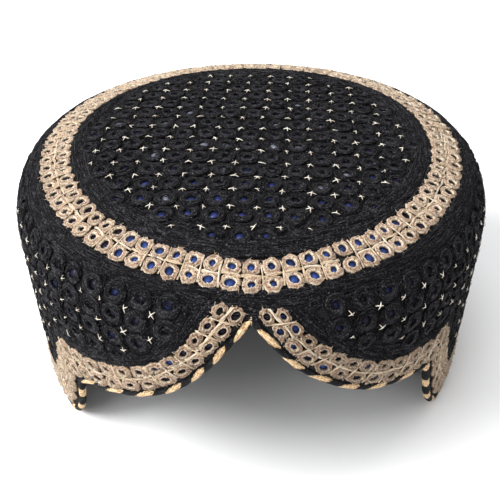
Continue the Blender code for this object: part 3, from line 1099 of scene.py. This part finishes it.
def lobe_satin():
    """Threads that follow the rim's cells along their upper line, once round the cap."""
    across = np.roll(UPPER_LINE, -1, axis=0) - np.roll(UPPER_LINE, 1, axis=0)
    across[[0, -1]] += (WALL_ROUND, 0.0)
    across = leftward(unit(across))
    line_out = UPPER_LINE + across * LOBE_SATIN_WIDTH
    line_out[:, 1] = np.minimum(line_out[:, 1], LOBE_SATIN_TOP)
    band = couched(on_wall, UPPER_LINE - across * SATIN_OVERLAP, line_out, LOBE_SATIN_PITCH,
                   0.44 * MM, LOBE_SATIN_LOW, 51)
    rng = np.random.default_rng(52)
    count = LOBE_LOOSE
    index = rng.integers(0, len(UPPER_LINE) - 1, count)
    away = rng.uniform(0.6, 4.0, count)[:, None] * MM
    ahead = unit(UPPER_LINE[index + 1] - UPPER_LINE[index])
    start = UPPER_LINE[index] + leftward(ahead) * away
    heading = np.arctan2(ahead[:, 1], ahead[:, 0])
    top = loose_threads(on_wall, start, heading, rng.uniform(5, 13, count) * MM, 53, 0.18)
    piece("lobe_satin", [band, top], "black_thread")


# Thread rings, their mirrors and the crosses between them


def waves(rng, angle, each, size, power, counts):
    """Swings of a ring's edge: a cosine for each count of waves, with a random phase and a
    random size of about size divided by that power of the count."""
    return sum(rng.normal(0.0, size / count ** power, each)
               * np.cos(count * angle + rng.uniform(0, 6, each)) for count in counts)


def uneven(flat, size, seed):
    """The same places, each moved a little."""
    return flat + np.random.default_rng(seed).normal(0.0, size, flat.shape)


def crown_lattice(rings_wanted):
    """Places on the crown: rings lie half a step both ways from the crosses. The rows at
    the front lie wider apart, by a stretch for each row."""
    shift = 0.5 * rings_wanted
    line = np.arange(CROWN_CROSSES + 1) - CROWN_CROSSES / 2 + 0.5 - shift
    count = np.stack(np.meshgrid(line, line), axis=-1).reshape(-1, 2)
    x, y = (count * CROWN_PITCH).T
    yaw = radians(CROWN_YAW)
    flat = pairs(x * cos(yaw) - y * sin(yaw), x * sin(yaw) + y * cos(yaw)) + CROWN_OFFSET
    inside = np.hypot(*flat.T) < (EYE_FIELD_RADIUS if rings_wanted else CROSS_FIELD_RADIUS)
    ahead = CROWN_FRONT_ROW - 2 * shift - count[:, 1]
    flat[:, 1] -= CROWN_FRONT_STRETCH * np.clip(ahead, 0.0, None)
    return flat[inside]


def wall_lattice(rings_wanted):
    """Places on the wall: rings lie half a column on, between the rows of crosses."""
    first = radians(WALL_FIRST_TURN)
    column = (2 * pi - 2 * first) / WALL_COLUMNS
    turn = first + column * (np.arange(WALL_COLUMNS + 1 + rings_wanted) - 0.5 * rings_wanted)
    drops = np.array(WALL_ROW_DROPS)
    if rings_wanted:
        drops = np.concatenate([[-EYE_ABOVE_TOP_ROW], (drops[1:] + drops[:-1]) / 2,
                                [drops[-1] + EYE_BELOW_LAST_ROW]])
    turn, drop = (each.ravel() for each in np.meshgrid(turn, drops))
    flat = pairs(turn * WALL_RADIUS, WALL_TOP_ROW - wall_sink(turn) - drop)
    margin = RING_MARGIN if rings_wanted else CROSS_MARGIN
    return flat[(distance_to_band(flat) > margin) & above_band(flat)]


def thread_eyes(ground, centres, half_sizes, seed):
    """Black thread rings: the outer edge swings by low waves round the ring, the hole is
    nearly round, and loose arcs of thread lie on each ring. Gives the patches and the
    half sizes of the holes."""
    rng = np.random.default_rng(seed)
    count = len(centres)
    each = (count, 1)
    angle = angles(EYE_STEPS)
    outer = 1.0 + waves(rng, angle, each, 0.05, 1.0, (2, 3, 5))
    outer = outer + rng.normal(0.0, 0.02, (count, EYE_STEPS))
    hole = rng.uniform(0.23, 0.36, each)
    hole = hole * (1.0 + 0.2 * np.cos(2 * angle + rng.uniform(0, 6, each)))
    sizes = half_sizes * rng.uniform(0.94, 1.08, each)
    share, height = np.array(EYE_PROFILE).T[..., None]
    reach = outer[:, None] + (hole - outer)[:, None] * share
    flat = centres[:, None, None] + reach[..., None] * direction(angle) * sizes[:, None, None]
    rough = ripple(seed + 1, flat[..., 0], flat[..., 1], 1.1 * MM)
    lift = (height + 0.42 * np.clip(height, 0.0, None) * rough) * MM
    size = sizes.mean(axis=1)[:, None, None] / MM
    tone = rng.uniform(0, 1, count)
    ring = ring_patch(ground, flat, lift, reach, share[:, 0], size, tone, 0.75 * MM)

    each = (count * EYE_ARCS, 1)
    middle = uneven(np.repeat(centres, EYE_ARCS, axis=0), 0.45 * MM, seed + 2)
    radius, begin, span = (rng.uniform(*limits, each)
                           for limits in ((0.42, 1.2), (0.0, 2 * pi), (1.4, 3.6)))
    share = np.linspace(0.0, 1.0, 8)
    radius = radius + rng.normal(0.0, 0.13, each) * np.sin(pi * share) * 2
    spread = direction(begin + span * share) * radius[..., None]
    path = middle[:, None] + spread * np.repeat(sizes, EYE_ARCS, axis=0)[:, None]
    lift = 0.62 - 0.35 * np.clip(radius - 0.5, 0.0, None) + rng.uniform(-0.16, 0.20, each)
    lift = (lift - 0.25 * (2 * share - 1) ** 4) * MM
    loose = threads(ground, path, lift, 0.2 * MM, 0.2 * MM)
    return [ring, loose], sizes * hole.mean(axis=1)[:, None]


def crosses(ground, centres, size, seed, twist):
    """Small cream crosses: four arms fall from a raised crossing to the cloth. Arms differ
    in length and direction, and some are missing."""
    rng = np.random.default_rng(seed)
    each, arms = (len(centres), 1), (len(centres), 4)
    angle = (rng.normal(0.0, 0.22, each) + twist + np.arange(4) * pi / 2
             + rng.normal(0.0, 0.22, arms))
    scale = size * rng.uniform(0.72, 1.05, each)
    length = rng.uniform(1.0, 1.75, arms) * scale * MM
    kept = rng.uniform(0, 1, arms) < 0.86
    kept[:, 0] |= kept.sum(axis=1) < 2
    share = np.linspace(0.0, 1.0, 5)
    reach = length[..., None] * (share * 1.12 - 0.12)
    path = centres[:, None, None] + direction(angle)[:, :, None] * reach[..., None]
    lift = 0.85 - 0.42 * share ** 1.6 + rng.uniform(-0.12, 0.12, (*arms, 1))
    thick = 0.20 * scale[..., None] * (1.0 - 0.35 * share ** 2) + 0 * lift
    tint = np.repeat(rng.uniform(0, 0.3, (*each, 1)), 4, axis=1)[kept][:, None, None]
    path, lift, thick = path[kept], lift[kept] * MM, thick[kept] * MM
    return threads(ground, path, lift, thick, thick * 0.8, sides=5, tint=tint)


def field(name, ground, lattice, wander, half_sizes, tints, mirror_lift, cross_size, twist, seed):
    """Thread rings, their mirrors and the crosses between them, on one lattice. wander is
    how far the rings and the crosses stray from it, and tints gives the mirrors' painted
    reflections from their places."""
    centres = uneven(lattice(True), wander[0], seed)
    eyes, holes = thread_eyes(ground, centres, np.array(half_sizes), seed + 1)
    piece(name + "_rings", eyes, "black_thread")
    mirrors(name + "_mirrors", ground, centres, holes.max(axis=1) * 1.25, mirror_lift,
            tints(centres), seed + 2)
    marks = uneven(lattice(False), wander[1], seed + 4)
    piece(name + "_crosses", [crosses(ground, marks, cross_size, seed + 5, twist)], "cream_thread")


def crown_tints(centres):
    """The crown's mirrors get a painted blue reflection at the front, and a few farther back a painted
    pale one.
    """
    back = centres[:, 1] / MM
    return (CROWN_BLUE, np.interp(back, [-54, -40, -24], [1.0, 0.55, 0.0]),
            np.interp(back, [-45, -30, 0, 30], [0.03, 0.2, 0.2, 0.03]))


def wall_tints(centres):
    """The wall's mirrors get a painted blue reflection here and there, most of all beside the cusp."""
    away = np.abs(from_front(centres[:, 0] / WALL_RADIUS))
    return WALL_BLUE, np.interp(away, [20, 45, 70], [0.42, 0.15, 0.08]), 0.0


def hairs(ground, start, length, rise, seed, radius=0.07):
    """Fine loose fibres: each leaves the cloth in its own direction, bends with a squared
    share of its length and stands off the cloth by up to rise."""
    rng = np.random.default_rng(seed)
    each = (len(start), 1)
    share = np.linspace(0.0, 1.0, 5)
    turn = rng.uniform(0.0, 2 * pi, each) + rng.normal(0.0, 1.3, each) * share
    reach = rng.uniform(0.4, 1.0, each) * length * share
    path = start[:, None] + direction(turn) * reach[..., None]
    lift = 0.25 * MM + rng.uniform(0.25, 1.0, each) * rise * np.sin(0.62 * pi * share)
    return threads(ground, path, lift, radius * MM, radius * MM)


def fill_threads():
    """Short threads in the ground between the rings, then the fluff on all black parts."""
    rng = np.random.default_rng(101)
    places = ((on_crown, crown_lattice(False), 4), (on_wall, wall_lattice(False), 3))
    layers = []
    for seed, (ground, place, _) in enumerate(places, 108):
        start = uneven(np.repeat(place, 2, axis=0), 0.5 * MM, seed)
        heading = rng.uniform(0.0, 2 * pi, len(start))
        length = rng.uniform(3.0, 4.4, len(start)) * MM
        start = start - 0.5 * length[:, None] * direction(heading)
        layers.append(loose_threads(ground, start, heading, length, seed + 2, 0.3, 0.42, 0.12))
    for seed, (ground, place, copies) in enumerate(places, 102):
        start = uneven(np.repeat(place, copies, axis=0), 1.7 * MM, seed)
        heading = rng.uniform(0.0, 2 * pi, len(start))
        length = rng.uniform(2.0, 5.0, len(start)) * MM
        layers.append(loose_threads(ground, start, heading, length, seed + 2, 0.5, 0.2, 0.35))
    around = rng.uniform(-pi, pi, WALL_HAIRS) * WALL_RADIUS
    wall = pairs(around, rng.uniform(40.0, 96.0, WALL_HAIRS) * MM)
    layers.append(hairs(on_wall, wall[above_band(wall)], 2.2 * MM, 0.9 * MM, 106))
    radius = 70.0 * MM * rng.uniform(0.0, 1.0, CROWN_HAIRS) ** 0.5
    crown = direction(rng.uniform(0.0, 2 * pi, CROWN_HAIRS)) * radius[:, None]
    layers.append(hairs(on_crown, crown, 2.2 * MM, 0.9 * MM, 107))
    piece("loose_threads", layers, "black_thread")


# Straw-coloured cells


def cell_frames(lower, upper, column, row):
    """Middle, half length and half height of each cell, as flat vectors at right angles."""
    line = lower + (upper - lower) * (0.25 + 0.5 * np.arange(2))[:, None, None]
    near, far = line[row, column], line[row, column + 1]
    ahead = (far - near) / 2
    turned = leftward(unit(ahead))
    rise = ((upper - lower)[column] + (upper - lower)[column + 1]) / 2
    return (near + far) / 2, ahead, turned * (rise * turned).sum(axis=1)[:, None] / 4


def superellipse(angle, power):
    """Distance of a rounded square's edge at each angle, for a half width of 1."""
    return (np.abs(np.cos(angle)) ** power + np.abs(np.sin(angle)) ** power) ** (-1 / power)


def straw_cells(name, lower, upper, blue, kept, darkening, seed, stands_for):
    """Two rows of cells in each column of a band, their mirrors, the cream threads
    between columns and rows, and the ends that stick out of the cells' edges.

    blue is the share of mirrors with a painted blue reflection at some turns, in degrees.
    darkening is the least and most by which the cells are made darker.
    """
    rng = np.random.default_rng(seed)
    columns = len(lower) - 1
    column = np.repeat(np.arange(columns), 2)
    row = np.tile([0, 1], columns)
    count = len(column)
    each, steps = (count, 1), (count, CELL_STEPS)
    angle = angles(CELL_STEPS)
    outer = CELL_FILL * superellipse(angle, CELL_SQUARENESS)
    outer = outer * (1.0 + waves(rng, angle, each, 0.045, 0.5, (2, 3, 4)))
    outer = outer + rng.normal(0.0, 0.065, steps)
    outward = np.sin(angle) * np.where(row == 0, -1.0, 1.0)[:, None]
    outer = outer + np.clip(outward, 0, 1) * rng.normal(0.03, 0.06, steps)
    hole = rng.uniform(0.34, 0.53, each)
    hole = hole * (1.0 + 0.10 * np.cos(2 * angle + rng.uniform(0, 6, each))
                   + rng.normal(0.0, 0.03, steps))
    share, height = np.array(CELL_PROFILE).T[..., None]
    reach = outer[:, None] + (hole - outer)[:, None] * share
    frames = cell_frames(lower, upper, column, row)
    centre, ahead, upward = (part[:, None, None] for part in frames)
    shift = rng.normal(0.0, 0.04, (count, 2, 1, 1))
    along = 0.97 * reach * np.cos(angle) + shift[:, 0]
    across = reach * np.sin(angle) + shift[:, 1]
    flat = centre + along[..., None] * ahead + across[..., None] * upward
    rough = ripple(seed + 1, flat[..., 0], flat[..., 1], 0.8 * MM)
    stitch = rng.normal(0.0, 0.21, (count, 1, CELL_STEPS))
    lift = (height + np.clip(height, 0.0, None) * (0.16 * rough + stitch)) * MM
    start = rng.uniform(0, 90, (count, 1, 1, 2))
    tone = rng.uniform(*darkening, count)
    cells = ring_patch(on_wall, flat, lift, reach, share[:, 0], CELL_HALF, tone, 0.8 * MM, start)

    middle = flat.mean(axis=(1, 2))
    wide = np.hypot(*np.moveaxis(flat[:, 6] - middle[:, None], -1, 0)).max(axis=1)
    # Painted reflections of the cells' mirrors: blue by turn, a few pale
    tints = (CELL_BLUE, np.interp(from_front(middle[:, 0] / WALL_RADIUS), *blue), 0.03)
    mirrors(name + "_cell_mirrors", on_wall, middle, wide * 1.15, -0.08 * MM, tints, seed + 2)
    ends = cell_ends(flat[:, 1], middle, seed + 5)
    piece(name + "_cells", [cells, ends], "straw_thread", stands_for)
    piece(name + "_couching", couching(lower, upper, kept, seed + 4), "cream_thread")


def twisted(path, lift, side, spread, width, turns, rng, seed):
    """Each path as a pair of strands that wind round each other: their offset to the side
    is spread times the cosine, and their offset in lift the sine, of turns of the way."""
    share = np.linspace(0.0, 1.0, path.shape[1])
    each = (len(path), 1)
    strands = []
    for strand in (0.0, pi):
        wind = 2 * pi * turns * share + strand + rng.uniform(0, 6, each)
        moved = path + side * (spread * np.cos(wind))[..., None]
        thick = width * (1.0 + 0.22 * ripple(seed, moved[..., 0], moved[..., 1], 1.5 * MM))
        tone = rng.uniform(0.5, 1.2, each)[:, None, None]
        strands.append(threads(on_wall, moved, lift + 0.12 * MM * np.sin(wind), thick, 0.22 * MM,
                               sides=6, tint=tone))
    return strands


def couching(lower, upper, kept, seed):
    """Cream threads that hold the cells: twisted pairs across the band between two columns,
    and wider ones along the middle of a column. kept is the share of the places that have
    one. Each rises between its ends by a sine."""
    rng = np.random.default_rng(seed)
    rise = upper - lower
    share = np.linspace(0.0, 1.0, 7)
    arch = np.sin(pi * share)
    places = np.arange(1, len(lower) - 1)
    places = places[rng.uniform(0, 1, len(places)) < kept]
    each = (len(places), 1)
    begin, end = rng.uniform(0.02, 0.16, (2, *each))
    across = begin + (1.0 - end - begin) * share
    path = lower[places, None] + rise[places, None] * across[..., None]
    sway = rng.normal(0.0, 0.25, (len(places), 2)) * MM
    path[..., 0] += sway[:, :1] * (1 - share) + sway[:, 1:] * share
    path[..., 0] += rng.normal(0.0, 0.25, each) * MM * arch
    lift = (0.30 + 0.34 * arch ** 0.5 + rng.uniform(-0.12, 0.10, each)) * MM
    side = np.array([1.0, 0.0])
    bars = twisted(path, lift, side, 0.16 * MM, 0.27 * MM, 0.8, rng, seed + 1)

    column = np.arange(len(lower) - 1)[rng.uniform(0, 1, len(lower) - 1) < kept + 0.1]
    middle = 0.5 + rng.normal(0.0, 0.03, (len(column), 2))
    at = (middle[:, :1] + (middle[:, 1:] - middle[:, :1]) * share)[..., None]
    near, far = (lower[line, None] + rise[line, None] * at for line in (column, column + 1))
    path = near + (far - near) * share[:, None]
    lift = (0.30 + 0.26 * arch + rng.uniform(-0.12, 0.1, (len(column), 1))) * MM
    side = unit(rise[column])[:, None]
    return bars + twisted(path, lift, side, 0.34 * MM, 0.33 * MM, 0.6, rng, seed + 2)


def cell_ends(edge, middle, seed):
    """Short curved thread ends that stick out of the cells' edges, some to each cell."""
    rng = np.random.default_rng(seed)
    count = CELL_ENDS * len(middle)
    cell = rng.integers(0, len(middle), count)
    start = edge[cell, rng.integers(0, edge.shape[1], count)]
    out = unit(start - middle[cell])
    side = leftward(out) * rng.normal(0.0, 0.7, (count, 1))
    share = np.linspace(0.0, 1.0, 4)
    length = rng.uniform(0.3, 1.4, (count, 1, 1)) * MM
    move = out[:, None] * (share[:, None] - 0.6) + side[:, None] * share[:, None] ** 2
    lift = (0.40 + 0.25 * share + rng.uniform(-0.2, 0.3, (count, 1))) * MM
    thick = 0.15 * MM * (1 - 0.4 * share)
    tint = np.column_stack([rng.uniform(0, 1, count), rng.uniform(0.1, 0.95, count), np.ones(count)])
    return threads(on_wall, start[:, None] + move * length, lift, thick, thick, sides=4,
                   tint=tint[:, None, None])


def crown_cells():
    """Cells round the crown's edge, with a column in the middle of the front. There the
    band sags by a bell curve."""
    turn = (np.arange(RING_COLUMNS + 1) - 0.5) * 2 * pi / RING_COLUMNS
    sag = RING_SAG * np.exp(-(from_front(turn - radians(SAG_TURN)) / SAG_SPREAD) ** 2)
    lower, upper = (pairs(turn * WALL_RADIUS, reach_at_radius(radius) - sag)
                    for radius in (RING_OUTER_RADIUS, RING_INNER_RADIUS))
    # Shares of cell mirrors with a painted blue reflection, by turn in degrees
    blue = ([-50, -40, -30, 30, 46, 60], [0.03, 0.3, 1.0, 1.0, 0.3, 0.03])
    straw_cells("crown", lower, upper, blue, 0.85, (0.0, 0.42), 81, "crown_ring")


def rim_cells():
    """Cells along the rim."""
    # Shares of cell mirrors with a painted blue reflection, by turn in degrees
    blue = ([-30, -10, 0, 12, 30], [0.02, 0.1, 0.75, 0.5, 0.02])
    straw_cells("rim", RIM_LOWER, RIM_UPPER, blue, 0.8, (0.6, 1.0), 91, "rim_band")


# Corded edge


def rim_cord():
    """Plaited cord along the rim: a round section whose size swells on every ply.

    The leaves are counted from the cusp down each side. On a foil their spacing grows
    evenly from the cusp to the notch, so their count goes with a logarithm.
    """
    rim = rim_line()
    closed = np.concatenate([rim, rim[:1] + (2 * pi, 0.0)])
    into = mitre(rim)
    length = travel(closed * FLAT)
    at = np.linspace(0.0, length[-1], CORD_STEPS + 1)[:-1]
    line = at_distance(closed, length, at) * FLAT
    side = at_distance(np.concatenate([into, into[:1]]), length, at) * FLAT

    on_right = at < length[-1] / 2
    down = np.where(on_right, at, length[-1] - at)
    ends = [travel(rim_half(column) * FLAT)[[FOIL_STEPS - 1, -1]] for column in (2, 1)]
    foil, foot, first, last, start = (
        np.where(on_right, *pair)
        for pair in (*zip(*ends), LEAF_SPACING_CUSP, LEAF_SPACING_NOTCH, FIRST_LEAF))
    on_foil = np.minimum(down, foil) / foil
    growth = last - first
    phase = (start + foil / growth * np.log(1.0 + growth * on_foil / first)
             + np.clip(down - foil, 0, foot - foil) / BAND_SPACING
             + np.clip(down - foot, 0, None) / first)
    leafy = np.where((down > foil) & (down < foot), 0.0, 1.0)
    spacing = np.where(leafy == 0.0, BAND_SPACING, first + growth * on_foil)

    angle = angles(CORD_SIDES)
    from_edge = np.minimum(angle, 2 * pi - angle) / pi
    half = PIPING_WIDTH / 2
    plies = np.abs(np.sin(2 * pi * (phase[:, None] + PLY_TWIST * from_edge))) ** PLY_POWER
    size = half * (PLY_SIZE + PLY_SWELL * plies)
    flat = line[:, None] + side[:, None] * (half - size * np.cos(angle))[..., None]
    points = on_wall(flat, size * np.sin(angle) - PIPING_DEPTH)
    points[..., 2] = np.maximum(points[..., 2], 0.0)
    leaves = np.append(phase, 2 * phase[-1] - phase[-2])[:, None]
    uv = pairs(leaves, np.append(from_edge, from_edge[0]))[None]
    tint = np.stack([spacing / LEAF_UNIT, leafy, 1.0 - on_right], axis=-1)
    piece("rim_cord", [patch(points[None], uv, tint[None, :, None])], "cord", "rim_piping")


# Floor, light and camera


def aimed(data, place, away, roll=0.0):
    """An object at a place. Its third axis points away from what it faces, its first one is
    level, and then it is rolled round the third one."""
    turned = Vector(away).to_track_quat("Z", "Y").to_matrix() @ Matrix.Rotation(-roll, 3, "Z")
    made = bpy.data.objects.new(data.name, data)
    made.matrix_world = Matrix.Translation(place) @ turned.to_4x4()
    bpy.context.scene.collection.objects.link(made)
    return made


def studio():
    """Pale floor, a bright even surrounding, and soft lamps, most of all from the left."""
    bpy.ops.mesh.primitive_plane_add(size=14.0, location=(0.0, 0.0, -0.0002))
    floor = bpy.context.object
    floor.name = "floor"
    floor.data.materials.append(floor_card())
    bpy.context.scene.world = surroundings()
    for name, (place, size, watts) in LAMPS.items():
        lamp = bpy.data.lights.new(name, "AREA")
        lamp.shape = "DISK"
        lamp.size = size
        lamp.energy = watts
        aimed(lamp, place, Vector(place) - LAMP_AIM)


def surroundings():
    """Even pale surroundings, white at the level of the floor and softer overhead."""
    look = Finish(bpy.data.worlds.new("surroundings"))
    height = look.split("ShaderNodeSeparateXYZ", look.add("ShaderNodeTexCoord", {}, "Generated"))[2]
    background = look.nodes["Background"].inputs
    put(look.ramp(height, (0.10, 1.0), (0.22, (0.52, 0.525, 0.53))), background["Color"])
    put(1.15, background["Strength"])
    return look.owner


def add_camera():
    """Camera at the photo's place: it looks at the cap's axis from the front and above."""
    elevation = radians(CAMERA_ELEVATION)
    data = bpy.data.cameras.new("camera")
    data.sensor_width = SENSOR_WIDTH
    data.lens = FOCAL_PIXELS * SENSOR_WIDTH / FRAME_PIXELS
    data.shift_x = (FRAME_PIXELS / 2 - MIDDLE_PIXEL_X) / FRAME_PIXELS
    data.shift_y = (MIDDLE_PIXEL_Y - FRAME_PIXELS / 2) / FRAME_PIXELS
    data.clip_start = 0.01
    data.clip_end = 50.0
    away = Vector((0.0, -cos(elevation), sin(elevation)))
    place = Vector((0.0, PLAN_SHIFT, LOOK_HEIGHT)) + away * CAMERA_DISTANCE
    bpy.context.scene.camera = aimed(data, place, away, radians(CAMERA_ROLL))


add_camera()
crown_shells()
wall_shells()
crown_satin()
shoulder_satin()
lobe_satin()
field("crown", on_crown, crown_lattice, (0.25 * MM, 0.35 * MM), (4.1 * MM, 3.95 * MM), crown_tints,
      -0.15 * MM, 1.12, 0.0, 61)
field("wall", on_wall, wall_lattice, (0.3 * MM, 0.4 * MM), (4.6 * MM, 4.0 * MM), wall_tints,
      -0.25 * MM, 1.0, 0.5, 71)
fill_threads()
crown_cells()
rim_cells()
rim_cord()
studio()
bpy.context.scene.view_settings.view_transform = "Standard"
